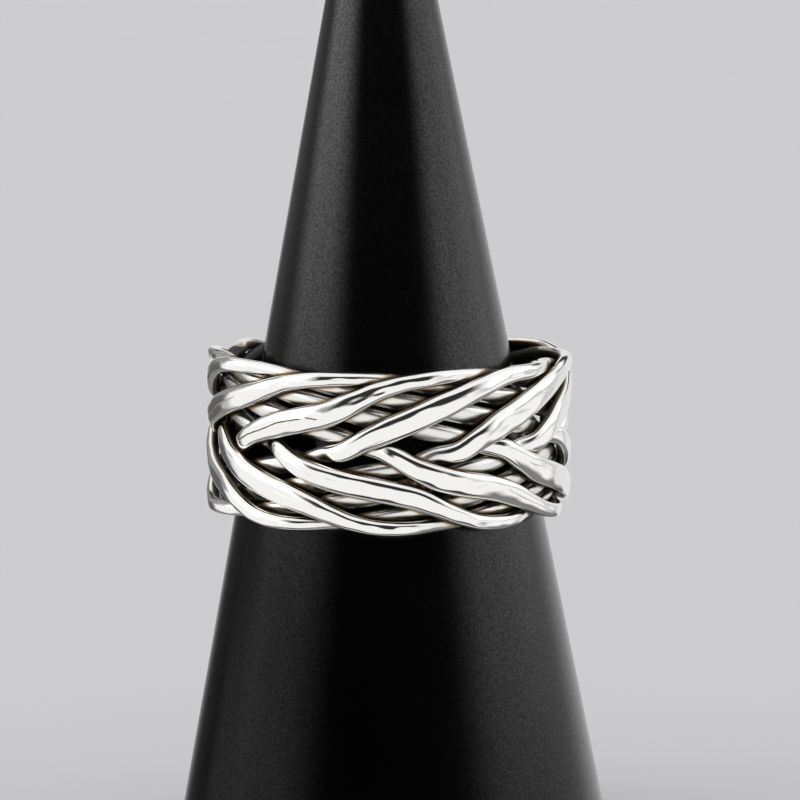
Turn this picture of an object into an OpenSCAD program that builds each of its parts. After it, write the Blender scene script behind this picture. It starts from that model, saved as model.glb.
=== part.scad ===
// Woven silver band ring, seated on a plain black display cone.
// Millimetres, +Z up. The origin is the centre of the cone's flat base and the cone's axis is vertical.
// The front of the ring faces -Y. Eleven wires make the band, and each one is a closed loop: it climbs
// over five others from the middle of the band to the top edge, turns over, comes down beneath five
// others, and then does the same to the bottom edge. One bight is the step from one wire to the next.

/* [Ring] */
// Outside diameter of the woven band
ring_outer_d = 23.6; // [23.6:0.1:24.4]
// Width of the band from its bottom edge to its top edge
band_w = 10.3; // [10:0.1:10.8]
// Thickness of a hammered wire
wire_t = 0.84; // [0.7:0.01:0.84]
// Width of a wire at its widest place
wire_w = 1.52; // [1.2:0.02:1.52]
// Distance between the middle of the outer layer of wires and the middle of the inner layer
layer_step = 0.96; // [0.96:0.01:1.1]
// How far the bights at the front are opened out and those at the back are closed up
front_spread = 0.145; // [0.1:0.005:0.15]

/* [Seat] */
// Height of the middle of the ring above the cone's base
ring_h = 28.6; // [28.6:0.1:31]
// Lean of the ring on the cone, to the right as seen from the front (degrees)
ring_lean = 1.2; // [0:0.1:1.2]
// Sideways offset of the leaning ring
ring_shift = 0.06; // [0:0.01:0.06]

/* [Display cone] */
// Diameter of the cone at its base
cone_base_d = 29; // [27:0.1:29]
// Angle between the cone's side and its axis (degrees)
cone_angle = 11; // [10.5:0.1:11]
// Radius of the rounded tip
tip_r = 3; // [2:0.1:4]
// Small bevel round the base
base_bevel = 0.5; // [0.2:0.1:1]

/* [Smoothness] */
// Number of sections along each wire
sections = 90; // [80:1:90]

/* [Hidden] */
wires = 11;

bight = 360 / wires;
half_turn = wires / 2;
// Place round the ring where wire 1 crosses the middle of the band, before the front is opened out
first_crossing = -111.7;
outer_layer_r = (ring_outer_d - wire_t) / 2;
tall = band_w / 10.3;
spread_deg = front_spread * 180 / PI;

// The way of a wire over half its loop. The other half is the same, upside down.
// step: bights from the wire's climb through the middle of the band; height: above the middle, for a
// band 10.3 wide; ride: 1 in the outer layer, 0 in the inner layer; wide and thick: share of the wire.
//  step  height  ride  wide  thick
WAY = [
  [0.00,  0.00, 0.83, 0.81, 0.93],
  [0.20,  0.78, 1.00, 0.89, 0.98],
  [0.42,  1.46, 1.00, 0.97, 1.00],
  [0.70,  2.10, 1.00, 1.00, 1.00],
  [0.96,  2.66, 1.00, 0.97, 1.00],
  [1.20,  3.30, 1.00, 0.91, 1.00],
  [1.40,  3.89, 1.00, 0.80, 1.00],
  [1.60,  4.34, 1.00, 0.70, 1.00],
  [1.85,  4.62, 0.99, 0.64, 1.00],
  [2.10,  4.67, 0.62, 0.60, 1.00],
  [2.35,  4.57, 0.06, 0.60, 1.00],
  [2.60,  4.36, 0.00, 0.62, 1.00],
  [3.00,  3.86, 0.00, 0.64, 1.00],
  [3.54,  3.20, 0.00, 0.72, 1.00],
  [4.12,  2.33, 0.00, 0.78, 1.00],
  [4.73,  1.36, 0.00, 0.76, 1.00],
  [5.10,  0.79, 0.00, 0.71, 1.00],
  [5.30,  0.27, 0.00, 0.73, 0.96]
];

// The hand of the maker: how each wire departs from the regular way where it lies in the outer layer.
// turn: degrees round the ring; at_045 to at_185: extra height at that many bights past the middle;
// wide: share of the regular width; rise and dive: bights by which it comes up and goes under late.
// The rows of UPPER are wires 1 to 11 on their way to the top edge.
//  turn  at_045 at_095 at_135 at_185  wide   rise   dive
UPPER = [
  [-7.0,  0.00,  0.00,  0.00,  0.10,  1.00,  0.08,  0.00],
  [-3.0,  0.00,  0.10, -0.15, -0.15,  0.97,  0.07,  0.04],
  [-3.0, -0.15, -0.30,  0.00,  0.05,  1.02,  0.01, -0.08],
  [ 0.5,  0.12,  0.60,  0.60,  0.08,  1.00, -0.01, -0.07],
  [ 1.0,  0.25,  0.60,  0.35,  0.00,  1.10,  0.00, -0.06],
  [-3.0,  0.10,  0.20,  0.10,  0.00,  1.12,  0.03,  0.04],
  [-1.0,  0.00, -0.10,  0.35,  0.20,  1.00,  0.00,  0.00],
  [-2.0,  0.10,  0.20,  0.00,  0.05,  0.95,  0.02,  0.00],
  [ 0.0, -0.10,  0.10,  0.20,  0.25,  1.05,  0.00,  0.04],
  [-1.0,  0.10, -0.15, -0.40, -0.15,  1.00,  0.00, -0.01],
  [-3.0,  0.00,  0.15,  0.10,  0.05,  0.96,  0.00, -0.04]
];
// The rows of LOWER start five bights further round, and extra height there is towards the bottom edge.
//  turn  at_045 at_095 at_135 at_185  wide   rise   dive
LOWER = [
  [-1.0,  0.00,  0.10,  0.10,  0.00,  1.00,  0.00,  0.00],
  [-2.0, -0.10,  0.20,  0.10,  0.05,  0.97,  0.00,  0.00],
  [-0.5,  0.10,  0.00, -0.10,  0.00,  1.04,  0.00,  0.00],
  [-1.0,  0.00,  0.15,  0.15,  0.00,  0.98,  0.03,  0.00],
  [-2.0,  0.10, -0.10,  0.00,  0.05,  1.02,  0.00,  0.00],
  [-4.0,  0.00,  0.10, -0.10, -0.05,  1.00,  0.01,  0.10],
  [ 1.5,  0.00,  0.00,  0.00,  0.00,  0.92, -0.04,  0.00],
  [ 1.5,  0.25,  0.20,  0.00,  0.00,  1.00, -0.03,  0.00],
  [-5.0, -0.05, -0.40, -0.70, -0.15,  0.95,  0.06,  0.10],
  [-3.0,  0.10, -0.20, -0.20,  0.00,  1.00,  0.03, -0.02],
  [-0.5,  0.15,  0.10,  0.00,  0.00,  1.05,  0.00,  0.00]
];

// Section of a wire: a flat hammered face outside, rounded edges and a narrower face inside.
// Across the wire and out from the ring, as shares of half its width and half its thickness.
SECTION = [
  [0.60, 1.00], [0.95, 0.45], [0.95, -0.30], [0.50, -1.00],
  [-0.50, -1.00], [-0.95, -0.30], [-0.95, 0.45], [-0.60, 1.00]
];

function wire_name(k) = str("strand_", k < 10 ? "0" : "", k);

// A smooth curve through a table's rows: column c at the place x given in column 0.
function last_row(table, x) = max([for (i = [1:len(table) - 3]) if (table[i][0] <= x) i]);
function slope(table, c, i) = (table[i + 1][c] - table[i - 1][c]) / (table[i + 1][0] - table[i - 1][0]);
function blend(y1, y2, m1, m2, s) =
  y1 * (2 * pow(s, 3) - 3 * pow(s, 2) + 1) + y2 * (3 * pow(s, 2) - 2 * pow(s, 3))
  + m1 * (pow(s, 3) - 2 * pow(s, 2) + s) + m2 * (pow(s, 3) - pow(s, 2));
function along(table, c, x) =
  let (
    i = last_row(table, x),
    span = table[i + 1][0] - table[i][0]
  )
  blend(table[i][c], table[i + 1][c], span * slope(table, c, i), span * slope(table, c, i + 1),
    (x - table[i][0]) / span);

// The whole loop of a wire: the half turn above, the same upside down, and a few rows of overlap.
function flipped(row, by) = [row[0] + by, -row[1], row[2], row[3], row[4]];
function moved(row, by) = [row[0] + by, row[1], row[2], row[3], row[4]];
LOOP = concat(
  [for (i = [len(WAY) - 2:len(WAY) - 1]) flipped(WAY[i], -half_turn)],
  WAY,
  [for (row = WAY) flipped(row, half_turn)],
  [for (i = [0:2]) moved(WAY[i], wires)]
);

// Departures of one outer part, at v bights from its crossing of the middle of the band.
function inside(v, low, high) = v > low && v < high;
function extra_height(row, v) =
  inside(v, -0.1, 3.4)
  ? along([[-2, 0], [-1, 0], [-0.1, 0], [0.45, row[1]], [0.95, row[2]], [1.35, row[3]],
    [1.85, row[4]], [2.6, 0.3 * row[4]], [3.4, 0], [4, 0]], 1, v)
  : 0;
function extra_width(row, v) =
  inside(v, -0.4, 2.6)
  ? along([[-2, 0], [-1, 0], [-0.4, 0], [0.3, row[5] - 1], [1.2, row[5] - 1],
    [1.9, 0.3 * (row[5] - 1)], [2.6, 0], [3.4, 0]], 1, v)
  : 0;
function late(row, v) =
  inside(v, -1.2, 3.4)
  ? along([[-3, 0], [-2, 0], [-1.2, 0], [-0.5, row[6]], [0.6, row[6]], [1.3, row[7]],
    [2.7, row[7]], [3.4, 0], [4, 0]], 1, v)
  : 0;

// Wire k (0 to 10) at u bights from its climb through the middle of the band.
function wrapped(u) = u - wires * floor(u / wires);
function upper_place(u) = wrapped(u) > 8 ? wrapped(u) - wires : wrapped(u);
function lower_place(u) = wrapped(u) - half_turn;
function late_place(k, u) =
  wrapped(u - late(UPPER[k], upper_place(u)) - late(LOWER[k], lower_place(u)));
function turned(k, u) =
  (UPPER[k][0] + LOWER[k][0]) / 2 + (UPPER[k][0] - LOWER[k][0]) / 2 * cos(180 * u / half_turn);
function round_place(k, u) =
  let (even = first_crossing + bight * (k + u))
  even + spread_deg * sin(even) + turned(k, u);
function wire_height(k, u) =
  tall * (along(LOOP, 1, wrapped(u)) + extra_height(UPPER[k], upper_place(u))
    - extra_height(LOWER[k], lower_place(u)));
function wire_radius(k, u) = outer_layer_r - layer_step * (1 - along(LOOP, 2, late_place(k, u)));
function wire_middle(k, u) =
  let (
    a = round_place(k, u),
    r = wire_radius(k, u)
  )
  [r * sin(a), -r * cos(a), wire_height(k, u)];

function unit(v) = v / norm(v);
// One section: the outline above, square to the wire, with its flat face turned out from the ring.
function wire_section(k, u) =
  let (
    middle = wire_middle(k, u),
    ahead = unit(wire_middle(k, u + 0.01) - wire_middle(k, u - 0.01)),
    out = unit([middle[0], middle[1], 0]),
    face = unit(out - (out * ahead) * ahead),
    edge = cross(face, ahead),
    w = wire_w / 2 * along(LOOP, 3, late_place(k, u))
      * (1 + extra_width(UPPER[k], upper_place(u)) + extra_width(LOWER[k], lower_place(u))),
    t = wire_t / 2 * along(LOOP, 4, late_place(k, u))
  )
  [for (p = SECTION) middle + p[0] * w * edge + p[1] * t * face];

module strand(k) {
  n = len(SECTION);
  rings = [for (i = [0:sections - 1]) wire_section(k, i * wires / sections)];
  points = [for (ring = rings) each ring];
  faces = [
    for (i = [0:sections - 1], j = [0:n - 1])
      let (
        a = i * n + j,
        b = i * n + (j + 1) % n,
        c = ((i + 1) % sections) * n + (j + 1) % n,
        d = ((i + 1) % sections) * n + j
      )
      each [[a, b, c], [a, c, d]]
  ];
  color([0.93, 0.92, 0.90])
  translate([ring_shift, 0, ring_h])
  rotate([0, ring_lean, 0])
  polyhedron(points = points, faces = faces, convexity = 12);
}

module display_cone() {
  base_r = cone_base_d / 2;
  fall = tan(cone_angle);
  // The rounded tip touches the straight side where the side meets this circle
  tip_z = (base_r - tip_r / cos(cone_angle)) / fall;
  side_z = tip_z + tip_r * sin(cone_angle);
  side_r = tip_r * cos(cone_angle);
  color([0.09, 0.09, 0.10])
  union() {
    rotate_extrude($fn = 96)
    polygon([
      [0, 0], [base_r - base_bevel, 0], [base_r - base_bevel * fall, base_bevel],
      [side_r, side_z], [0, side_z]
    ]);
    translate([0, 0, tip_z]) sphere(r = tip_r, $fn = 96);
  }
}

for (k = [1:wires]) strand(k - 1);
display_cone();
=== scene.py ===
# %% [markdown]
# A woven silver ring on its display cone.
# The ring is a flat braid of eleven hammered silver wires, closed on itself, and it is shown on a plain
# black cone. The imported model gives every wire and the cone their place. This file gives them their looks:
# finer surfaces along the same routes, the silver with its dark oxide in the gaps, and the satin black cone.

import bpy
import numpy as np
from mathutils import Matrix, Vector


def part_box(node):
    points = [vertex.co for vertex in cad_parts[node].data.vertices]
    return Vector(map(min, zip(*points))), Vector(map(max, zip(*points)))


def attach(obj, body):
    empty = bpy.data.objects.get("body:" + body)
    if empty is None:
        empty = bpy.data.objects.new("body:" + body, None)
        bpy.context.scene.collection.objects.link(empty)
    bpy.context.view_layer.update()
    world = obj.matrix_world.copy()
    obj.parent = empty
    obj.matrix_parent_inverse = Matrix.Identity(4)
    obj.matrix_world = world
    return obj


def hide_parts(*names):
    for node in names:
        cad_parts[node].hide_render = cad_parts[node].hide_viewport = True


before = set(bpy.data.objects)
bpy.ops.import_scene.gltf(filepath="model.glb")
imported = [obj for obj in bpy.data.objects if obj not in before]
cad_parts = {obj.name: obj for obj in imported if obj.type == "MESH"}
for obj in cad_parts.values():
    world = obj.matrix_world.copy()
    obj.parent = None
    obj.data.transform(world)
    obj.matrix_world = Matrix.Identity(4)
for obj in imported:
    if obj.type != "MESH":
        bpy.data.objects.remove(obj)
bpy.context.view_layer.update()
print("parts in the frame:", len(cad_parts))

# %% [markdown]
# Lengths below are in millimetres, as a jeweller gives them, and become metres where a mesh is made.
# Colours are written as the sRGB hex values that a colour picker shows. A shader wants linear light, so
# one function turns them. Another adds a node with its settings, its values and its links.

# %% Small helpers
MM = 0.001


def linear(hex_colour):
    """The linear values of an sRGB hex colour: c / 12.92 in the toe, ((c + 0.055) / 1.055) ^ 2.4 above it."""
    c = np.array([int(hex_colour[i:i + 2], 16) for i in (1, 3, 5)]) / 255
    c = np.where(c <= 0.04045, c / 12.92, ((c + 0.055) / 1.055) ** 2.4)
    return (*c.tolist(), 1.0)


def add(tree, kind, inputs=None, **settings):
    """Adds one node: settings are its properties, and inputs gives each input a value or the socket that
    feeds it."""
    made = tree.nodes.new(kind)
    for name, value in settings.items():
        setattr(made, name, value)
    for name, value in (inputs or {}).items():
        if isinstance(value, bpy.types.NodeSocket):
            tree.links.new(value, made.inputs[name])
        else:
            made.inputs[name].default_value = value
    return made


def new_material(name):
    """A material with nothing in its node tree but the output."""
    made = bpy.data.materials.new(name)
    made.use_nodes = True
    made.node_tree.nodes.clear()
    return made, add(made.node_tree, "ShaderNodeOutputMaterial")


print("the hex grey #808080 is", round(linear("#808080")[0], 3), "in linear light")

# %% [markdown]
# The route of a wire. On the real ring each wire climbs over five others from the middle of the band to its
# top edge, turns over, comes down beneath five others, and does the same to the bottom edge. One bight is
# the step from a wire to the next. The rows below are the ones that the CAD wires are swept along, but for
# a slightly gentler climb at the middle, so a finer surface along them lies where the CAD wire lies.
# A curve drawn by eye could look right from the front and still cut through its neighbours at the back.

# %% The driving sizes and the way of a wire
WIRES = 11
BIGHT = 2 * np.pi / WIRES
HALF_TURN = WIRES / 2
RING_OUTER_R = 23.6 / 2
WIRE_THICK = 0.84
WIRE_WIDE = 1.52
LAYER_STEP = 0.96
FIRST_CROSSING = np.radians(-111.7)
FRONT_SPREAD = 0.145
RING_HEIGHT = 28.6
RING_LEAN = np.radians(1.2)
RING_SHIFT = 0.06

# step: bights from the wire's climb through the middle of the band; height above the middle;
# ride: 1 in the outer layer, 0 in the inner layer; wide and thick: share of the wire.
WAY = np.array([
    # step  height  ride  wide  thick
    (0.00, 0.00, 0.76, 0.81, 0.93),
    (0.20, 0.78, 1.00, 0.89, 0.98),
    (0.42, 1.46, 1.00, 0.97, 1.00),
    (0.70, 2.10, 1.00, 1.00, 1.00),
    (0.96, 2.66, 1.00, 0.97, 1.00),
    (1.20, 3.30, 1.00, 0.91, 1.00),
    (1.40, 3.89, 1.00, 0.80, 1.00),
    (1.60, 4.34, 1.00, 0.70, 1.00),
    (1.85, 4.62, 0.99, 0.64, 1.00),
    (2.10, 4.67, 0.62, 0.60, 1.00),
    (2.35, 4.57, 0.06, 0.60, 1.00),
    (2.60, 4.36, 0.00, 0.62, 1.00),
    (3.00, 3.86, 0.00, 0.64, 1.00),
    (3.54, 3.20, 0.00, 0.72, 1.00),
    (4.12, 2.33, 0.00, 0.78, 1.00),
    (4.73, 1.36, 0.00, 0.76, 1.00),
    (5.10, 0.79, 0.00, 0.71, 1.00),
    (5.30, 0.27, 0.06, 0.73, 0.96),
])

# The hand of the maker: how each wire departs from the regular way where it lies in the outer layer.
# turn: degrees round the ring; at_045 to at_185: extra height at that many bights past the middle;
# wide: share of the regular width; rise and dive: bights by which it comes up and goes under late.
UPPER = np.array([
    # turn at_045 at_095 at_135 at_185 wide  rise   dive
    (-7.0, 0.00, 0.00, 0.00, 0.10, 1.00, 0.08, 0.00),
    (-3.0, 0.00, 0.10, -0.15, -0.15, 0.97, 0.07, 0.04),
    (-3.0, -0.15, -0.30, 0.00, 0.05, 1.02, 0.01, -0.08),
    (0.5, 0.12, 0.60, 0.60, 0.08, 1.00, -0.01, -0.07),
    (1.0, 0.25, 0.60, 0.35, 0.00, 1.10, 0.00, -0.06),
    (-3.0, 0.10, 0.20, 0.10, 0.00, 1.12, 0.03, 0.04),
    (-1.0, 0.00, -0.10, 0.35, 0.20, 1.00, 0.00, 0.00),
    (-2.0, 0.10, 0.20, 0.00, 0.05, 0.95, 0.02, 0.00),
    (0.0, -0.10, 0.10, 0.20, 0.25, 1.05, 0.00, 0.04),
    (-1.0, 0.10, -0.15, -0.40, -0.15, 1.00, 0.00, -0.01),
    (-3.0, 0.00, 0.15, 0.10, 0.05, 0.96, 0.00, -0.04),
])
LOWER = np.array([
    # turn at_045 at_095 at_135 at_185 wide  rise   dive
    (-1.0, 0.00, 0.10, 0.10, 0.00, 1.00, 0.00, 0.00),
    (-2.0, -0.10, 0.20, 0.10, 0.05, 0.97, 0.00, 0.00),
    (-0.5, 0.10, 0.00, -0.10, 0.00, 1.04, 0.00, 0.00),
    (-1.0, 0.00, 0.15, 0.15, 0.00, 0.98, 0.03, 0.00),
    (-2.0, 0.10, -0.10, 0.00, 0.05, 1.02, 0.00, 0.00),
    (-4.0, 0.00, 0.10, -0.10, -0.05, 1.00, 0.01, 0.10),
    (1.5, 0.00, 0.00, 0.00, 0.00, 0.92, -0.04, 0.00),
    (1.5, 0.25, 0.20, 0.00, 0.00, 1.00, -0.03, 0.00),
    (-5.0, -0.05, -0.40, -0.70, -0.15, 0.95, 0.06, 0.10),
    (-3.0, 0.10, -0.20, -0.20, 0.00, 1.00, 0.03, -0.02),
    (-0.5, 0.15, 0.10, 0.00, 0.00, 1.05, 0.00, 0.00),
])


def through(places, values, x):
    """A smooth curve through (place, value) pairs: cubic spans, whose slope at each pair is that of the
    straight line between the pairs on both sides of it."""
    places, values = np.asarray(places, float), np.asarray(values, float)
    i = np.clip(np.searchsorted(places, x, side="right") - 1, 1, len(places) - 3)
    span = places[i + 1] - places[i]
    slope_1 = (values[i + 1] - values[i - 1]) / (places[i + 1] - places[i - 1])
    slope_2 = (values[i + 2] - values[i]) / (places[i + 2] - places[i])
    s = (x - places[i]) / span
    return (values[i] * (2 * s**3 - 3 * s**2 + 1) + values[i + 1] * (3 * s**2 - 2 * s**3)
            + span * slope_1 * (s**3 - 2 * s**2 + s) + span * slope_2 * (s**3 - s**2))


def smooth_step(value, low, high):
    """0 below low, 1 above high, and 3 t^2 - 2 t^3 between them."""
    t = np.clip((value - low) / (high - low), 0, 1)
    return t * t * (3 - 2 * t)


def between(value, start, full, ebb, end):
    """0 outside start and end, 1 between full and ebb, and smooth steps on the way."""
    return smooth_step(value, start, full) * smooth_step(-value, -end, -ebb)


def whole_loop(column):
    """Places and values of a column of WAY over more than one loop: a half turn, then the same upside down."""
    sign = -1 if column == 1 else 1
    steps = np.concatenate([WAY[:, 0] + by for by in (-HALF_TURN, 0, HALF_TURN, WIRES)])
    values = np.concatenate([sign * WAY[:, column], WAY[:, column]] * 2)
    return steps, values


LOOP = {name: whole_loop(column) for column, name in enumerate(("step", "height", "ride", "wide", "thick"))}


def regular(name, u):
    """The regular way at u bights, without the hand: its height, ride, wide or thick."""
    return through(*LOOP[name], u % WIRES)


print("wires:", WIRES, "bight in degrees:", round(360 / WIRES, 1), "rows in half a loop:", len(WAY))

# %% [markdown]
# The departures of the hand. No two wires of a hand-woven ring lie alike, and in the photo one sits higher,
# one is broader and one dives earlier. Each departure is a smooth bump over the outer part of one wire, and
# it fades out before the wire goes under, so the inner layer stays regular and clear of the cone.

# %% The departures and the middle line of a wire
HEIGHT_PLACES = [-2, -1, -0.1, 0.45, 0.95, 1.35, 1.85, 2.6, 3.4, 4, 5, 12]
WIDTH_PLACES = [-2, -1, -0.4, 0.3, 1.2, 1.9, 2.6, 3.4, 4, 12]
LATE_PLACES = [-3, -2, -1.2, -0.5, 0.6, 1.3, 2.7, 3.4, 4, 12]


def extra_height(row, v):
    """Extra height of an outer part at v bights past the middle: a smooth curve through the row's values."""
    values = [0, 0, 0, *row[1:5], 0.3 * row[4], 0, 0, 0, 0]
    return np.where((v > -0.1) & (v < 3.4), through(HEIGHT_PLACES, values, v), 0)


def extra_width(row, v):
    """Extra share of width: the row's own over the outer part, and a smooth way back to none."""
    more = row[5] - 1
    values = [0, 0, 0, more, more, 0.3 * more, 0, 0, 0, 0]
    return np.where((v > -0.4) & (v < 2.6), through(WIDTH_PLACES, values, v), 0)


def late(row, v):
    """Bights by which a wire is late: the row's rise where it comes up, its dive where it goes under."""
    values = [0, 0, 0, row[6], row[6], row[7], row[7], 0, 0, 0]
    return np.where((v > -1.2) & (v < 3.4), through(LATE_PLACES, values, v), 0)


def outer_places(u):
    """How far u is past the middle of the band on the wire's upper outer part, and on its lower one."""
    u = u % WIRES
    return np.where(u > 8, u - WIRES, u), u - HALF_TURN


def middle_line(k, u):
    """Point of wire k at u bights: round the ring by bight and hand, up by height, out by its layer."""
    up, low = outer_places(u)
    turns = np.radians([UPPER[k, 0], LOWER[k, 0]])
    even = FIRST_CROSSING + BIGHT * (k + u)
    turned = turns.mean() + (turns[0] - turns[1]) / 2 * np.cos(np.pi * u / HALF_TURN)
    angle = even + FRONT_SPREAD * np.sin(even) + turned
    height = regular("height", u) + extra_height(UPPER[k], up) - extra_height(LOWER[k], low)
    ride = regular("ride", late_place(k, u))
    radius = RING_OUTER_R - WIRE_THICK / 2 - LAYER_STEP * (1 - ride)
    return np.stack([radius * np.sin(angle), -radius * np.cos(angle), height], -1)


def late_place(k, u):
    """The place on the regular way that wire k has reached at u bights."""
    up, low = outer_places(u)
    return u - late(UPPER[k], up) - late(LOWER[k], low)


def unit(v):
    """Each vector divided by its length."""
    return v / np.linalg.norm(v, axis=-1, keepdims=True)


print("wire 1 climbs through the middle at", middle_line(0, np.array([0.0])).round(2))

# %% [markdown]
# The section of a wire. The real wires are round silver wire that was hammered after weaving: the outer
# layer has broad, almost flat faces with soft rolled edges, and the inner layer, which the hammer hardly
# reached, is rounder. A rounded box (a superellipse) gives both, because one power turns an oval
# into a box: across = cos^(2/n), out = sin^(2/n). The faces also carry shallow dents, a sum of slow waves
# whose lengths fit the loop a whole number of times, so that the wire closes on itself without a step.
# A hammer seldom falls quite square, so each face also looks up or down by a few degrees, which decides
# whether it mirrors the white cards or the dark between them. Bands of grey and black in polished silver are
# nothing else, and painting them on would leave them in place when the ring is turned.

# %% The section and the hammer's dents
SIDES = 44
RINGS = 660
OUTER_SHARE = 0.96       # the CAD section is an octagon a little narrower than its stated width
INNER_MORE = 0.13        # a rounder wire may be wider than the octagon before it meets its neighbours
START_MORE = 0.03        # the hammer spreads the end of each outer part, where it bends down
START_AT = 0.1           # bights past the middle where that end lies
START_FADE = (0.2, 0.5)  # bights from it over which the spread is lost
FACE_MORE = 0.10         # and it spreads the outer faces between the middle and the rims, where there is room
# Heights off the middle of the band between which the inner wires and the outer faces have that room.
INNER_ROOM = (0.7, 1.5, 2.9, 3.7)
OUTER_ROOM = (0.8, 1.6, 2.8, 3.6)
# Powers of the section: the outer layer's hammered side, the inner layer's, and the side towards the finger.
POWER_OUTER_FACE = 2.8
POWER_ROUND = 2.35
POWER_INNER_FACE = 2.3
# waves, depth, fewest and most in a loop, least and most slant (radians over half the face)
BLOWS = (14, 0.0045, 10, 40, 0.0, 1.6)
WRINKLES = (12, 0.0020, 12, 56, 4.0, 8.5)
INNER_DENTS = 0.3        # share of the dents' depth that the inner layer gets
FIRST_SEED = 100
AHEAD = 0.01             # bights to both sides between which a wire's direction is taken
# The slope of the inner layer's faces, which look down a little.
INNER_LOOKS = np.tan(np.radians(-9))

# Degrees by which the hammered face looks up, at these bights past the middle of the band.
LOOK_PLACES = [-2, -1.2, -0.6, 0, 0.45, 0.95, 1.35, 1.85, 2.5, 3.2, 4, 12]
UPPER_LOOKS = np.array([
    (-3, -5, -4, 0, 2), (-6, -7, -6, -2, 4), (-9, -3, 0, 3, 0), (-1, -5, 3, 5, -2),
    (6, -1, -3, -4, 0), (2, -3, -4, 0, 2), (-4, 2, 5, 0, -3), (3, 4, -4, -5, 0),
    (-5, 0, 4, 3, 0), (0, -4, -3, 4, 2), (4, 5, 0, -4, -2)])
LOWER_LOOKS = np.array([
    (-4, -3, 0, 2, 0), (5, 3, -3, -5, 0), (-3, 2, 4, 0, -3), (0, -5, -3, 3, 2),
    (4, 0, -4, 0, 3), (-5, -2, 3, 5, 0), (-3, -4, -3, 0, 0), (-5, -5, -4, -3, -2),
    (-5, -8, -7, -5, -6), (-2, -8, -7, -7, -6), (-8, -10, -9, -6, -3)])


def rounded(angle, power):
    """A superellipse by direction: (c, s) / (|c|^n + |s|^n)^(1/n). Its points lie more evenly than those that
    powers of c and s would give."""
    c, s = np.cos(angle), np.sin(angle)
    far = (np.abs(c) ** power + np.abs(s) ** power) ** (-1 / power)
    return c * far, s * far


def dents(rng, u, across, waves, depth, fewest, most, least, steepest):
    """Height of the hammered face: a sum of cosines with seeded lengths, slants and phases, periodic in u."""
    total = np.zeros(np.broadcast(u, across).shape)
    for _ in range(waves):
        cycles = rng.integers(fewest, most)
        slant = rng.uniform(least, steepest) * rng.choice((-1, 1))
        phase = rng.uniform(0, 2 * np.pi)
        total += np.cos(2 * np.pi * cycles * u / WIRES + slant * across + phase)
    return depth * total


def looks_up(looks, v):
    """The slope of a face that looks up by so many degrees at v bights past the middle of the band."""
    values = [0, 0, 0.5 * looks[0], *looks, 0, 0, 0, 0]
    return np.tan(np.radians(np.where((v > -1.2) & (v < 3.2), through(LOOK_PLACES, values, v), 0)))


def wire_surface(k, rings=RINGS, sides=SIDES):
    """Wire k as a grid of points: the section carried along the middle line, square to it, face outwards."""
    u = np.arange(rings) * WIRES / rings
    angle = np.arange(sides) * 2 * np.pi / sides
    middle = middle_line(k, u)
    ahead = unit(middle_line(k, u + AHEAD) - middle_line(k, u - AHEAD))
    out = unit(middle * (1, 1, 0))
    face = unit(out - (out * ahead).sum(-1, keepdims=True) * ahead)
    edge = np.cross(face, ahead)
    up, low = outer_places(u)
    places = late_place(k, u)
    ride = np.clip(regular("ride", places), 0, 1)[:, None]
    off_middle = np.abs(middle[:, 2])
    inner = INNER_MORE * (1 - ride[:, 0]) * between(off_middle, *INNER_ROOM)
    outer = FACE_MORE * ride[:, 0] * between(off_middle, *OUTER_ROOM)
    from_start = np.minimum(np.abs(up - START_AT), np.abs(low - START_AT))
    start = START_MORE * smooth_step(-from_start, -START_FADE[1], -START_FADE[0])
    share = (OUTER_SHARE + inner + outer + start) * regular("wide", places)
    share *= 1 + extra_width(UPPER[k], up) + extra_width(LOWER[k], low)
    half_wide = (WIRE_WIDE / 2 * share)[:, None]
    half_thick = WIRE_THICK / 2 * regular("thick", places)[:, None]
    power = POWER_ROUND + (POWER_OUTER_FACE - POWER_ROUND) * ride
    power = np.where(angle < np.pi, power, POWER_INNER_FACE)
    across, high = rounded(angle[None, :], power)
    rng = np.random.default_rng(FIRST_SEED + k)
    raised = dents(rng, u[:, None], across, *BLOWS) + dents(rng, u[:, None], across, *WRINKLES)
    raised *= INNER_DENTS + (1 - INNER_DENTS) * ride
    slope = looks_up(UPPER_LOOKS[k], up) + looks_up(LOWER_LOOKS[k], low)
    slope += INNER_LOOKS * (1 - ride[:, 0]) * smooth_step(off_middle, *INNER_ROOM[:2])
    raised -= slope[:, None] * across * half_wide
    points = (middle[:, None, :] + (across * half_wide)[..., None] * edge[:, None, :]
              + (high * half_thick + raised * np.clip(high, 0, 1))[..., None] * face[:, None, :])
    return points, across, high, ride


def seated(points):
    """Ring coordinates to the part's own, in metres: leaned about the Y axis, shifted and raised onto the
    cone."""
    c, s = np.cos(RING_LEAN), np.sin(RING_LEAN)
    lean = np.array([(c, 0, s), (0, 1, 0), (-s, 0, c)])
    return (points @ lean.T + (RING_SHIFT, 0, RING_HEIGHT)) * MM


print("a hammered face is at most", round(WIRE_WIDE * (OUTER_SHARE + FACE_MORE), 2), "mm wide, hand apart")

# %% [markdown]
# Marks of the tool. Where two blows of the hammer overlap, a fine groove is left along the wire, and the
# polish doesn't take it out. A groove is thinner than the mesh's cells, so the mesh only carries how far aside
# of the groove a point lies, and the shader cuts the fine line from that. A mesh fine enough to hold the groove
# itself would need a hundred times the points.

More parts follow.
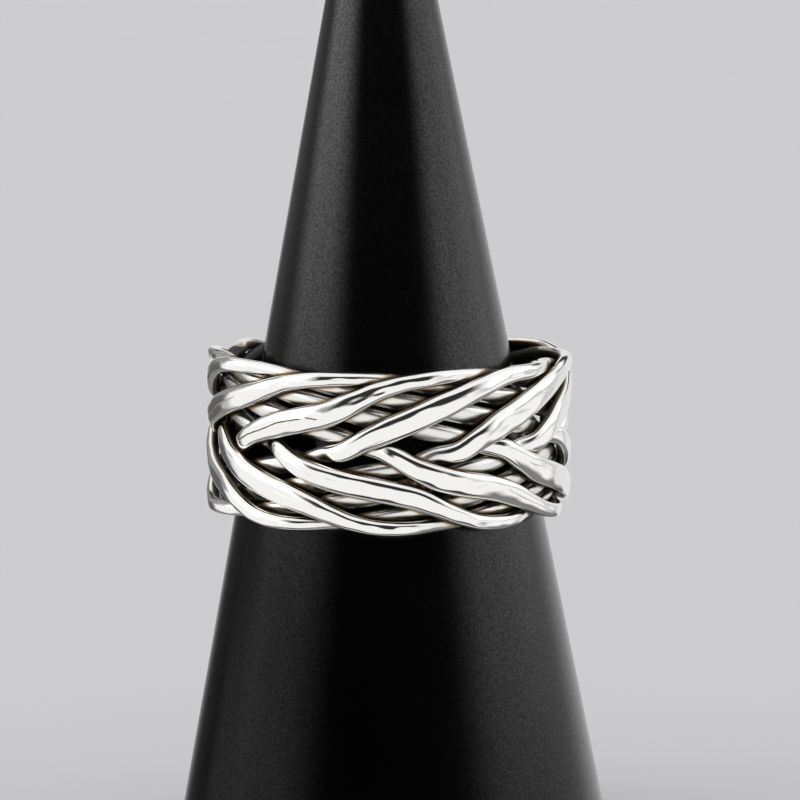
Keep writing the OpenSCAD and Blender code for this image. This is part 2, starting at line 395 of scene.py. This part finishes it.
# %% The tool's grooves
# wire; half turn (0 climbs, 1 falls); from and to, bights past the middle; place across the face at both
# ends; sway: how far the line wanders, in shares of the half face; depth 0 to 1
GROOVES = [
    (2, 0, -0.03, 0.82, 0.05, 0.12, 0.13, 1.0),
    (2, 0, 0.78, 0.90, 0.25, -0.20, 0.00, 0.9),
    (1, 0, 0.30, 1.05, -0.25, 0.05, 0.12, 0.6),
    (4, 0, 0.30, 1.30, 0.35, 0.10, 0.10, 0.35),
    (3, 0, 0.10, 0.80, -0.45, -0.30, 0.08, 0.25),
    (10, 1, 0.20, 0.80, 0.10, 0.15, 0.14, 0.3),
    (9, 1, 1.00, 1.75, 0.20, -0.10, 0.12, 0.4),
    (8, 1, 0.10, 0.90, 0.10, 0.00, 0.08, 0.25),
    (7, 1, 0.20, 1.20, 0.15, -0.10, 0.08, 0.2),
    (6, 0, 0.20, 1.00, -0.10, 0.20, 0.12, 0.6),
    (8, 0, 0.50, 1.40, 0.10, -0.20, 0.12, 0.6),
    (5, 1, 0.20, 1.20, 0.20, 0.00, 0.12, 0.6),
]
FAR_ASIDE = 1.0          # what a point without a groove is given
SWAYS = (9.0, 4.1)       # radians to a bight of the two sines that make a groove sway
GROOVE_FADE = 0.12       # share of its length over which a groove fades out at each end
GROOVE_PAST = 0.05       # share of its length over which its path is kept beyond each end


def grooves(k, u, across):
    """For each point the signed distance aside from its groove in millimetres, and the groove's depth: the
    groove is a straight run across the face from one place to the other, plus a slow product of two sines."""
    aside = np.full(np.broadcast(u, across).shape, FAR_ASIDE)
    depth = np.zeros(aside.shape)
    for wire, half, start, end, first, last, sway, deep in GROOVES:
        if wire == k:
            v = outer_places(u)[half]
            along = (v - start) / (end - start)
            line = first + (last - first) * along + sway * np.sin(SWAYS[0] * v + wire) * np.sin(SWAYS[1] * v)
            inside = (along > -GROOVE_PAST) & (along < 1 + GROOVE_PAST)
            aside = np.where(inside, (across - line) * WIRE_WIDE / 2, aside)
            from_end = 0.5 - np.abs(along - 0.5)
            depth = np.where(inside, deep * smooth_step(from_end, 0, GROOVE_FADE), depth)
    return aside, depth


longest = max(end - start for _, _, start, end, *_ in GROOVES)
print(len(GROOVES), "grooves, the longest over", round(longest, 2), "bights")

# %% [markdown]
# The dark oxide. After weaving the maker blackens the ring in liver of sulphur and polishes it: the wheel
# cleans what it can reach and leaves the gaps dark. How far aside a point lies from the wires above it tells
# how well the wheel reaches it, and so does how far round the wire's flank it lies. Cycles has an occlusion
# node for this, but it depends on what else is shown, so the distance is worked out here once, on the ring
# laid out flat, and kept on the mesh as an attribute.

# %% How far the polishing wheel reaches
REACH_COARSE = 4         # the distance is worked out on every fourth ring and drawn out between them
LINE_STEPS = 600
FAR_CLEAR = 2.0          # a point further from any wire than this counts as this far
OVER_BY = (-0.25, 0.45)  # how much further out a wire is when it begins to lie over a point, and when it does
NOT_OVER = 1.2           # what is added to the distance of a wire that doesn't lie over the point
# Where the wheel begins to reach and where it reaches fully: up the wire's flank, in shares of half its
# thickness; into a gap, in millimetres of clearance; under the band's edge; towards that edge across the wire,
# in shares of half its width.
FLANK = (-0.35, 0.45)
GAP = (-0.15, 0.32)
BAND_EDGE = 5.0          # height of the band's edge above its middle
RIM = (BAND_EDGE - 0.9, BAND_EDGE - 0.2)
RIM_SIDE = (0.3, 0.9)
OUTER_EASE = 0.32        # the outer layer stands free, as if its gaps were wider by this much
INNER_REACH = 0.93       # the inner layer, which only the soft cloth reaches, keeps a thin film


def unrolled(points):
    """The ring laid out flat: length round the outer layer, height, and how far out the point lies."""
    angle = np.arctan2(points[..., 0], -points[..., 1])
    return angle * (RING_OUTER_R - WIRE_THICK / 2), points[..., 2], np.hypot(points[..., 0], points[..., 1])


def clearance(k, points):
    """How far aside each point lies, in millimetres, from the edge of the nearest wire that is further out: the
    distance to that wire's middle line on the flat ring, less half its width. A wire that isn't further out
    counts as NOT_OVER further away, with a smooth step between the two."""
    coarse = points[::REACH_COARSE].reshape(-1, 3)
    round_1, height_1, out_1 = (part[:, None] for part in unrolled(coarse))
    girth = 2 * np.pi * (RING_OUTER_R - WIRE_THICK / 2)
    nearest = np.full(len(coarse), FAR_CLEAR)
    u = np.arange(LINE_STEPS) * WIRES / LINE_STEPS
    for other in set(range(WIRES)) - {k}:
        round_2, height_2, out_2 = unrolled(middle_line(other, u))
        half_wide = WIRE_WIDE / 2 * regular("wide", late_place(other, u))
        aside = (round_1 - round_2 + girth / 2) % girth - girth / 2
        apart = np.hypot(aside, height_1 - height_2) - half_wide
        over = smooth_step(out_2 - out_1, *OVER_BY)
        nearest = np.minimum(nearest, (apart + NOT_OVER * (1 - over)).min(-1))
    grid = nearest.reshape(-1, points.shape[1])
    grid = np.concatenate([grid, grid[:1]])
    at = np.arange(len(points)) / REACH_COARSE
    low = at.astype(int)
    part = (at - low)[:, None]
    return grid[low] * (1 - part) + grid[low + 1] * part


def wheel_reach(k, points, across, high, ride):
    """1 where the wheel polishes freely, 0 in a gap: the product of smooth steps for clear of the wires above
    and for facing out or lying along the band's edge, and a little less in the inner layer."""
    faces_out = smooth_step(high, *FLANK)
    height = points[..., 2]
    at_edge = smooth_step(across * np.sign(height), *RIM_SIDE) * smooth_step(np.abs(height), *RIM)
    free = smooth_step(clearance(k, points) + OUTER_EASE * ride, *GAP)
    return free * np.maximum(faces_out, at_edge) * (INNER_REACH + (1 - INNER_REACH) * ride)


trial = wire_surface(0, 132)
print("the wheel reaches", round(100 * (wheel_reach(0, *trial) > 0.5).mean()), "% of the first wire's skin")

# %% [markdown]
# Meshes that carry values. A wire closes on itself both along and around, so its surface is a grid whose last
# row joins its first. The values for the shader, such as the wheel's reach, are stored on the same points
# under a name that the material asks for. Vertex paint would hold them too, but only in eight bits.

# %% A grid as a mesh, and a piece in its CAD part's place
def loop_mesh(name, points, values, scale):
    """A mesh from a grid that closes both ways, with a UV map in millimetres and named values on its points."""
    rings, sides = points.shape[:2]
    i, j = np.meshgrid(np.arange(rings), np.arange(sides), indexing="ij")
    corners = np.stack([i, i + 1, i + 1, i, j, j, j + 1, j + 1], -1).reshape(-1, 2, 4)
    index = (corners[:, 0] % rings) * sides + corners[:, 1] % sides
    mesh = bpy.data.meshes.new(name)
    mesh.from_pydata(points.reshape(-1, 3), [], index)
    mesh.polygons.foreach_set("use_smooth", np.ones(len(index), bool))
    uv = np.stack([corners[:, 0] * scale[0] / rings, corners[:, 1] * scale[1] / sides], -1)
    mesh.uv_layers.new(name="along_wire").data.foreach_set("uv", uv.ravel())
    for attribute, grid in values.items():
        made = mesh.attributes.new(attribute, "FLOAT", "POINT")
        made.data.foreach_set("value", grid.astype(np.float32).ravel())
    mesh.update()
    return mesh


def show(mesh, material, node):
    """Puts a finished mesh in the scene in place of its CAD node, with its material."""
    piece = bpy.data.objects.new(mesh.name, mesh)
    bpy.context.scene.collection.objects.link(piece)
    mesh.materials.append(material)
    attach(piece, "root")
    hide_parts(node)
    return piece


print("a wire's mesh has", RINGS * SIDES, "faces, about", 2 * RINGS * SIDES, "triangles")

# %% [markdown]
# Sterling silver, hammered, oxidised and polished. Silver reflects nearly all light without tint, so the
# polished faces are a white mirror and their look is the studio's. The metal keeps Blender's IOR, because
# its colour comes from the base. The inner layer is satin: only the cloth gets in there, and it leaves a
# soft glow instead of a picture. The oxide is a warm cream and brown film where it is thin and black where
# it is thick; it is dull, and the thicker it is, the less it shines like a metal. One factor, from the
# wheel's reach, drives colour, roughness and metal together, so the three change at the same line.
# Along the grooves a thread of the same oxide colours is painted over the real dent, as a painted reflection
# of the dark edge along a facet border. A dark picture laid over the wires could look the same from the
# front, but here the dark follows the weave all round the ring.

# %% The silver's material
PER_MM = 1 / MM          # a pattern's scale is so many repeats to a metre
FILM_PATCHES = 0.7       # repeats to a millimetre: the film grows in patches a millimetre and a half across
FILM_UNEVEN = 0.2        # and they change the wheel's reach by this much
CLEAN, BLACK = 0.92, 0.08                 # the reach at which no film is left, and at which it is black
WEAR_SWELLS = 1.8        # repeats to a millimetre: the wheel leaves swells about half a millimetre long
WEAR_DEPTH = 0.004
GROOVE_CORE, GROOVE_RIM = 0.015, 0.06     # a groove is deepest to the first distance and gone at the second
GROOVE_DEPTH = 0.02
GROOVE_WANDER = 0.12     # how far the noise pushes a groove off its path, as a blow's edge wanders
# The dark thread along a groove is a painted reflection of the dark edge along a facet border, laid on in the
# oxide colours over the groove's real dent; this is how dark it is painted.
GROOVE_PAINTED_DARK = 0.85      # how much of the oxide a full groove keeps
MIRROR, DULL, SATIN = 0.035, 0.45, 0.28   # roughness: polished by the wheel, under oxide, polished by cloth
DULL_FROM = 0.35         # share of oxide from which the skin is fully dull
SATIN_TO = 0.8           # ride up to which the skin is satin
METAL_FADE = (0.3, 0.9)  # shares of oxide between which the skin stops shining like a metal
OXIDE_METAL = 0.25
OXIDE_COLOURS = ((0.0, "#F7F6F3"), (0.25, "#EAE0CF"), (0.5, "#B79F7E"), (0.75, "#624A32"), (1.0, "#18110A"))


def oxidised_silver():
    """Polished silver that goes to brown and black oxide where the attribute "reach" is small, satin where
    "outer" is small, with a dent and a painted dark line, a painted reflection, where the groove attributes say
    that a groove runs."""
    material, output = new_material("oxidised_sterling_silver")
    tree = material.node_tree
    place = add(tree, "ShaderNodeTexCoord").outputs["Object"]
    reach = add(tree, "ShaderNodeAttribute", attribute_name="reach").outputs["Fac"]
    cloud = add(tree, "ShaderNodeTexNoise", {"Vector": place, "Scale": FILM_PATCHES * PER_MM, "Detail": 2.0})
    uneven = add(tree, "ShaderNodeMath", {0: cloud.outputs["Fac"], 1: 0.5}, operation="SUBTRACT")
    reach = add(tree, "ShaderNodeMath", {
        0: uneven.outputs[0], 1: FILM_UNEVEN, 2: reach}, operation="MULTIPLY_ADD")
    # Wear from the wheel waves the reflections a little.
    wear = add(tree, "ShaderNodeTexNoise", {"Vector": place, "Scale": WEAR_SWELLS * PER_MM, "Detail": 2.0})
    bump = add(tree, "ShaderNodeBump", {
        "Height": wear.outputs["Fac"], "Strength": 1.0, "Distance": WEAR_DEPTH * MM})
    aside = add(tree, "ShaderNodeAttribute", attribute_name="groove_aside").outputs["Fac"]
    depth = add(tree, "ShaderNodeAttribute", attribute_name="groove_depth").outputs["Fac"]
    # The groove: a line along its path, which the noise, whose middle value is a half, pushes to both sides.
    wander = add(tree, "ShaderNodeMath", {
        0: wear.outputs["Fac"], 1: GROOVE_WANDER, 2: aside}, operation="MULTIPLY_ADD")
    offset = add(tree, "ShaderNodeMath", {0: wander.outputs[0], 1: GROOVE_WANDER / 2}, operation="SUBTRACT")
    near = add(tree, "ShaderNodeMath", {0: offset.outputs[0]}, operation="ABSOLUTE").outputs[0]
    cut = add(tree, "ShaderNodeMapRange", {
        "Value": near, "From Min": GROOVE_CORE, "From Max": GROOVE_RIM, "To Min": 1.0, "To Max": 0.0},
        interpolation_type="SMOOTHSTEP")
    groove = add(tree, "ShaderNodeMath", {0: cut.outputs[0], 1: depth}, operation="MULTIPLY").outputs[0]
    # Painted reflection: the groove's line is painted dark in the oxide colours, over its real dent.
    painted_groove_line = add(tree, "ShaderNodeMath", {0: groove, 1: depth}, operation="MULTIPLY").outputs[0]
    reach = add(tree, "ShaderNodeMath", {
        0: painted_groove_line, 1: -GROOVE_PAINTED_DARK, 2: reach.outputs[0]}, operation="MULTIPLY_ADD")
    bump = add(tree, "ShaderNodeBump", {
        "Height": groove, "Strength": 1.0, "Distance": -GROOVE_DEPTH * MM, "Normal": bump.outputs[0]})
    oxide = add(tree, "ShaderNodeMapRange", {
        "Value": reach.outputs[0], "From Min": CLEAN, "From Max": BLACK}).outputs[0]
    colour = add(tree, "ShaderNodeValToRGB", {"Fac": oxide})
    ramp = colour.color_ramp.elements
    while len(ramp) < len(OXIDE_COLOURS):
        ramp.new(0.5)
    for element, (at, hex_colour) in zip(ramp, OXIDE_COLOURS):
        element.position = at
        element.color = linear(hex_colour)
    rough = add(tree, "ShaderNodeMapRange", {
        "Value": oxide, "From Max": DULL_FROM, "To Min": MIRROR, "To Max": DULL})
    outer = add(tree, "ShaderNodeAttribute", attribute_name="outer").outputs["Fac"]
    satin = add(tree, "ShaderNodeMapRange", {
        "Value": outer, "From Max": SATIN_TO, "To Min": SATIN, "To Max": 0.0})
    rough = add(tree, "ShaderNodeMath", {0: rough.outputs[0], 1: satin.outputs[0]}, operation="MAXIMUM")
    metal = add(tree, "ShaderNodeMapRange", {
        "Value": oxide, "From Min": METAL_FADE[0], "From Max": METAL_FADE[1],
        "To Min": 1.0, "To Max": OXIDE_METAL}).outputs[0]
    shader = add(tree, "ShaderNodeBsdfPrincipled", {
        "Base Color": colour.outputs["Color"], "Metallic": metal, "Roughness": rough.outputs[0],
        "Normal": bump.outputs[0]})
    tree.links.new(shader.outputs[0], output.inputs["Surface"])
    return material


SILVER = oxidised_silver()
print(SILVER.name, "has", len(SILVER.node_tree.nodes), "nodes")

# %% [markdown]
# Weave the eleven wires. All of them follow the same way, each one bight further round, so one function
# makes them all and only the maker's hand, the seed of the dents and the grooves differ. Each wire takes the
# place of its CAD strand, and the print compares the two boxes: a wire must not reach outside the part.

# %% Weave the eleven wires
WIRE_GIRTH = 4.0         # length round a wire's skin, for its UV map
NO_GROOVE = 3            # half widths by which a point without a groove counts as lying aside

for k in range(WIRES):
    points, across, high, ride = wire_surface(k)
    name = f"strand_{k + 1:02d}"
    length = np.linalg.norm(np.diff(middle_line(k, np.linspace(0, WIRES, LINE_STEPS)), axis=0), axis=-1).sum()
    # The side towards the finger has no grooves: its points count as lying far aside, each on its own side.
    on_face = np.where(high > 0, across, NO_GROOVE * np.sign(across))
    aside, depth = grooves(k, np.arange(RINGS)[:, None] * WIRES / RINGS, on_face)
    values = {"reach": wheel_reach(k, points, across, high, ride), "outer": ride + 0 * high,
              "groove_aside": aside, "groove_depth": depth}
    mesh = loop_mesh("wire_" + name[-2:], seated(points), values, (length, WIRE_GIRTH))
    piece = show(mesh, SILVER, name)
    past_cad = np.abs(seated(points)).max(axis=(0, 1)) - np.abs(np.array(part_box(name))).max(axis=0)
    print(name, "length", round(length, 1), "mm, past its CAD box by", (past_cad * 1000).round(3))

# %% [markdown]
# The display cone. Such cones are turned or moulded, with a flat base, a small bevel, a straight side and a
# rounded tip. It is a turned shape, so its surface is one outline carried round the axis. A cone from
# Blender's own menu would have the side but not the bevel and the tip.

# %% The cone
CONE_BASE_R = 29 / 2
CONE_ANGLE = np.radians(11)
TIP_R = 3.0
BASE_BEVEL = 0.5
ROUND_STEPS = 192
BASE_STEPS, BEVEL_STEPS, SIDE_STEPS, TIP_STEPS = 12, 4, 90, 24


def cone_outline():
    """Radius and height of the outline from the middle of the base to the tip, as short straight steps."""
    tip_z = (CONE_BASE_R - TIP_R / np.cos(CONE_ANGLE)) / np.tan(CONE_ANGLE)
    side_foot = (CONE_BASE_R - BASE_BEVEL * np.tan(CONE_ANGLE), BASE_BEVEL)
    side_head = (TIP_R * np.cos(CONE_ANGLE), tip_z + TIP_R * np.sin(CONE_ANGLE))
    base = np.linspace((0, 0), (CONE_BASE_R - BASE_BEVEL, 0), BASE_STEPS)
    bevel = np.linspace(base[-1], side_foot, BEVEL_STEPS)[1:]
    side = np.linspace(side_foot, side_head, SIDE_STEPS)[1:]
    turn = np.linspace(CONE_ANGLE, np.pi / 2, TIP_STEPS)[1:]
    tip = np.stack([TIP_R * np.cos(turn), tip_z + TIP_R * np.sin(turn)], -1)
    return np.concatenate([base, bevel, side, tip])


def turned_mesh(name, outline, steps):
    """The outline carried round the Z axis: (r sin a, -r cos a, z), closed at both poles by its own points."""
    outline = np.where(np.abs(outline) < 1e-9, 0, outline)
    body = outline[1:-1]
    a = np.arange(steps) * 2 * np.pi / steps
    r, z = body[:, 0, None], body[:, 1, None]
    grid = np.stack([r * np.sin(a), -r * np.cos(a), z + 0 * a], -1).reshape(-1, 3)
    points = np.concatenate([grid, [(0, 0, outline[0, 1]), (0, 0, outline[-1, 1])]]) * MM
    i, j = np.meshgrid(np.arange(len(body) - 1), np.arange(steps), indexing="ij")
    quads = np.stack([i * steps + j, i * steps + (j + 1) % steps,
                      (i + 1) * steps + (j + 1) % steps, (i + 1) * steps + j], -1).reshape(-1, 4)
    j = np.arange(steps)
    last = (len(body) - 1) * steps
    under = np.stack([(j + 1) % steps, j, np.full(steps, len(grid))], -1)
    over = np.stack([last + j, last + (j + 1) % steps, np.full(steps, len(grid) + 1)], -1)
    mesh = bpy.data.meshes.new(name)
    mesh.from_pydata(points.tolist(), [], [*quads.tolist(), *under.tolist(), *over.tolist()])
    mesh.polygons.foreach_set("use_smooth", np.ones(len(mesh.polygons), bool))
    mesh.update()
    return mesh


print("the outline has", len(cone_outline()), "points and is", round(cone_outline()[:, 1].max(), 2), "mm high")

# %% [markdown]
# Satin black acrylic. The skin is blasted or moulded to a fine grain, so it throws soft broad lights and no
# clear picture. The grain shows as a speckle of brighter and darker glints. The real one is a few hundredths
# of a millimetre, too fine for the picture, so it is drawn coarser, at about a seventh of a millimetre. The
# shine is also painted to fade towards the foot and towards the left, which is painted light. On the real cone
# that fall-off comes from the soft boxes, which stand near and high; a world light is equally far from every
# point, so here it is painted into the shine's level by place on the cone.

# %% The cone's material
GRAIN = 7.0              # glints to a millimetre
GLINTS = (0.6, 1.4)      # the dimmest and the brightest, as shares of the shine there
HANDLING = 0.22          # repeats to a millimetre: faint clouds of more and less rubbed skin
SKIN_ROUGH = (0.17, 0.23)
ACRYLIC_IOR = 1.49
# Painted light: the shine's level is painted by place, full up high and on the right, dimmer at the foot and on
# the left.
PAINTED_SHEEN = (0.09, 0.5)      # the shine's level at the foot and where it is full
PAINTED_SHEEN_FULL = 52.0        # height from the foot at which it is full
PAINTED_SHEEN_LEFT = 2.2         # a millimetre to the left dims the shine as much as this many millimetres down


def satin_acrylic():
    """Black acrylic with a satin skin: near black, a speckle, and a broad shine that is painted to fade towards
    the foot and the left.
    """
    material, output = new_material("satin_black_acrylic")
    tree = material.node_tree
    place = add(tree, "ShaderNodeTexCoord").outputs["Object"]
    grain = add(tree, "ShaderNodeTexNoise", {"Vector": place, "Scale": GRAIN * PER_MM, "Detail": 1.0})
    speckle = add(tree, "ShaderNodeMapRange", {
        "Value": grain.outputs["Fac"], "From Min": 0.3, "From Max": 0.7,
        "To Min": GLINTS[0], "To Max": GLINTS[1]})
    cloud = add(tree, "ShaderNodeTexNoise", {"Vector": place, "Scale": HANDLING * PER_MM, "Detail": 5.0})
    rough = add(tree, "ShaderNodeMapRange", {
        "Value": cloud.outputs["Fac"], "To Min": SKIN_ROUGH[0], "To Max": SKIN_ROUGH[1]})
    parts = add(tree, "ShaderNodeSeparateXYZ", {0: place}).outputs
    # Painted light: the shine is painted brighter upwards and to the right, where the soft boxes light the real
    # cone.
    lit = add(tree, "ShaderNodeMath", {0: parts["X"], 1: PAINTED_SHEEN_LEFT, 2: parts["Z"]}, operation="MULTIPLY_ADD")
    painted_sheen = add(tree, "ShaderNodeMapRange", {
        "Value": lit.outputs[0], "From Max": PAINTED_SHEEN_FULL * MM, "To Min": PAINTED_SHEEN[0], "To Max": PAINTED_SHEEN[1]},
        interpolation_type="SMOOTHSTEP")
    level = add(tree, "ShaderNodeMath", {0: painted_sheen.outputs[0], 1: speckle.outputs[0]}, operation="MULTIPLY")
    shader = add(tree, "ShaderNodeBsdfPrincipled", {
        "Base Color": linear("#010101"), "Roughness": rough.outputs[0], "IOR": ACRYLIC_IOR,
        "Specular IOR Level": level.outputs[0]})
    tree.links.new(shader.outputs[0], output.inputs["Surface"])
    return material

# %% [markdown]
# The cone takes the place of its CAD part. It holds the ring by its taper, so a cone that is a little too wide
# or too tall would cut into the wires; the print compares its height with the CAD cone's.

# %% Stand the cone
cone = show(turned_mesh("cone", cone_outline(), ROUND_STEPS), satin_acrylic(), "display_cone")
cad_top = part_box("display_cone")[1].z
print("cone reaches", round(cone.dimensions.z * 1000, 2), "mm; the CAD cone", round(cad_top * 1000, 2))

# %% [markdown]
# The floor. The cone stands on plain pale studio paper, which takes a soft shadow and shows that it stands.
# The paper isn't seen in the metal: the cards of the studio reach below the ring in the reflections, as if it
# stood on glass, and a pale floor there would wipe out the dark line under each wire.

# %% The floor
FLOOR_R = 6.0            # metres
PAPER_CLOUDS = 0.012     # repeats to a millimetre


def disc(name, radius, steps=96):
    """A flat disc at height 0: one face through points round a circle."""
    a = np.arange(steps) * 2 * np.pi / steps
    rim = np.stack([radius * np.cos(a), radius * np.sin(a), 0 * a], -1)
    mesh = bpy.data.meshes.new(name)
    mesh.from_pydata(rim.tolist(), [], [list(range(steps))])
    return mesh


def pale_paper():
    """Studio paper: matt and pale, with a faint cloudiness some centimetres across."""
    material, output = new_material("pale_studio_paper")
    tree = material.node_tree
    place = add(tree, "ShaderNodeTexCoord").outputs["Object"]
    cloud = add(tree, "ShaderNodeTexNoise", {"Vector": place, "Scale": PAPER_CLOUDS * PER_MM})
    colour = add(tree, "ShaderNodeMix", {
        "Factor": cloud.outputs["Fac"], "A": linear("#D5D5D7"), "B": linear("#D8D8DA")}, data_type="RGBA")
    shader = add(tree, "ShaderNodeBsdfPrincipled", {"Roughness": 0.9})
    tree.links.new(colour.outputs["Result"], shader.inputs["Base Color"])
    tree.links.new(shader.outputs[0], output.inputs["Surface"])
    return material


floor = bpy.data.objects.new("floor", disc("floor", FLOOR_R))
bpy.context.scene.collection.objects.link(floor)
floor.data.materials.append(pale_paper())
floor.visible_glossy = False
print("the floor is", 2 * FLOOR_R, "m across at height", floor.location.z)

# %% [markdown]
# The studio. The ring is photographed between white cards, with a lamp box overhead and a dark gap between
# them where the camera stands. The cards are what the silver shows: white faces, a dark streak along each
# upper edge where the crown of the wire turns towards the gap, and grey at the sides. The studio is drawn
# on the world as soft-edged panels, because a panel at no particular distance lights every side of the ring
# alike. Area lamps would do as well, but each of them would have to be kept out of the other's reflection.

# %% The studio
# towards: degrees round from the front, positive to the right; half: half its width; low and high:
# elevations; fade and soft: widths of its side borders and of its lower and upper ones; light: its brightness.
# A panel hides what it covers of the ones before it. In order: the lamp box overhead, the dark behind the
# left, the front card, the left side box and the grey beside it, the right side box, the card behind the
# right, three grey cards low down behind and at the sides, a grey strip on the right, the table below.
STUDIO = [
    # towards half low  high fade soft light
    (0, 180, 32, 90, 5, 4, 0.96),
    (-145, 55, -62, 2, 6, 6, 0.12),
    (0, 122, -46, 0, 8, 3, 0.96),
    (-83, 30, -2, 38, 18, 3, 2.10),
    (-130, 24, -2, 38, 14, 5, 0.30),
    (90, 36, -2, 38, 16, 3, 1.25),
    (160, 38, -26, 20, 12, 5, 0.80),
    (-148, 24, -70, -25, 12, 5, 0.24),
    (-88, 24, -70, -42, 10, 5, 0.24),
    (108, 44, -70, -27, 8, 5, 0.22),
    (94, 40, -8, 0, 10, 3, 0.62),
    (0, 180, -90, -60, 4, 4, 0.45),
]
STUDIO_DARK = 0.03       # what the gaps between the panels show
SEEN_BACKGROUND = "#C9C9CB"


def studio():
    """The world: each panel is laid over the ones before it by smooth steps in azimuth and elevation."""
    world = bpy.data.worlds.new("studio")
    bpy.context.scene.world = world
    world.use_nodes = True
    tree = world.node_tree
    tree.nodes.clear()
    towards = add(tree, "ShaderNodeTexCoord").outputs["Generated"]
    parts = add(tree, "ShaderNodeSeparateXYZ", {0: towards})
    flat = add(tree, "ShaderNodeVectorMath", {0: towards, 1: (1, 1, 0)}, operation="MULTIPLY")
    level = add(tree, "ShaderNodeVectorMath", {0: flat.outputs[0]}, operation="NORMALIZE").outputs[0]
    rise = add(tree, "ShaderNodeMath", {0: parts.outputs["Z"]}, operation="ARCSINE").outputs[0]
    light = STUDIO_DARK
    for azimuth, half, low, high, fade, soft, bright in STUDIO:
        a = np.radians(azimuth)
        aim = add(tree, "ShaderNodeVectorMath", {
            0: level, 1: (np.sin(a), -np.cos(a), 0)}, operation="DOT_PRODUCT")
        aside = add(tree, "ShaderNodeMath", {0: aim.outputs["Value"]}, operation="ARCCOSINE").outputs[0]
        mask = 1.0
        for value, start, end in ((aside, half + fade, half - fade), (rise, low - soft, low + soft),
                                  (rise, high + soft, high - soft)):
            step = add(tree, "ShaderNodeMapRange", {
                "Value": value, "From Min": np.radians(start), "From Max": np.radians(end)},
                interpolation_type="SMOOTHSTEP")
            mask = add(tree, "ShaderNodeMath", {0: step.outputs[0], 1: mask}, operation="MULTIPLY").outputs[0]
        light = add(tree, "ShaderNodeMix", {"Factor": mask, "A": light, "B": bright}).outputs[0]
    unseen = add(tree, "ShaderNodeBackground", {"Color": linear("#FFFFFF"), "Strength": light})
    seen = add(tree, "ShaderNodeBackground", {"Color": linear(SEEN_BACKGROUND)})
    ray = add(tree, "ShaderNodeLightPath").outputs["Is Camera Ray"]
    mixed = add(tree, "ShaderNodeMixShader", {0: ray, 1: unseen.outputs[0], 2: seen.outputs[0]})
    add(tree, "ShaderNodeOutputWorld", {"Surface": mixed.outputs[0]})


studio()
print("the studio has", len(STUDIO), "panels")
bpy.context.scene.view_settings.view_transform = "Standard"

# %% [markdown]
# The camera. The photo was taken with a long lens from a little above: how far the band's back edge stands
# above its front edge in the picture gives the elevation, and how much smaller the back looks gives the
# distance. The ring's middle is at one named pixel of the 800 pixel frame, and the camera turns to put it
# there.

# %% The camera
FRAME_PIXELS = 800
RING_MIDDLE_PIXEL = (388.5, 427)
DISTANCE_PIXELS = 3300
MM_PER_PIXEL = 0.0648
ELEVATION = np.radians(8.6)
ROLL = np.radians(0.82)
SENSOR = 36.0


def photo_camera():
    """Looks at the ring's middle from the photo's angle, rolls, then turns to put the middle on its pixel."""
    data = bpy.data.cameras.new("photo_camera")
    data.sensor_width = SENSOR
    data.lens = DISTANCE_PIXELS / FRAME_PIXELS * SENSOR
    data.clip_start, data.clip_end = 0.01, 50.0
    camera = bpy.data.objects.new("photo_camera", data)
    bpy.context.scene.collection.objects.link(camera)
    middle = Vector((RING_SHIFT, 0, RING_HEIGHT)) * MM
    c, s = np.cos(ELEVATION), np.sin(ELEVATION)
    back = Vector((0, -c, s))
    level = Matrix(((1, 0, 0), (0, s, -c), (0, c, s)))
    right = RING_MIDDLE_PIXEL[0] - FRAME_PIXELS / 2
    down = RING_MIDDLE_PIXEL[1] - FRAME_PIXELS / 2
    wanted = Vector((right, -down, -DISTANCE_PIXELS))
    turn = wanted.rotation_difference(Vector((0, 0, -1))).to_matrix()
    rotation = level @ Matrix.Rotation(-ROLL, 3, "Z") @ turn
    eye = middle + back * DISTANCE_PIXELS * MM_PER_PIXEL * MM
    camera.matrix_world = Matrix.Translation(eye) @ rotation.to_4x4()
    bpy.context.scene.camera = camera
    return camera


camera = photo_camera()
print("camera at", [round(1000 * x, 1) for x in camera.location], "mm, lens", camera.data.lens)
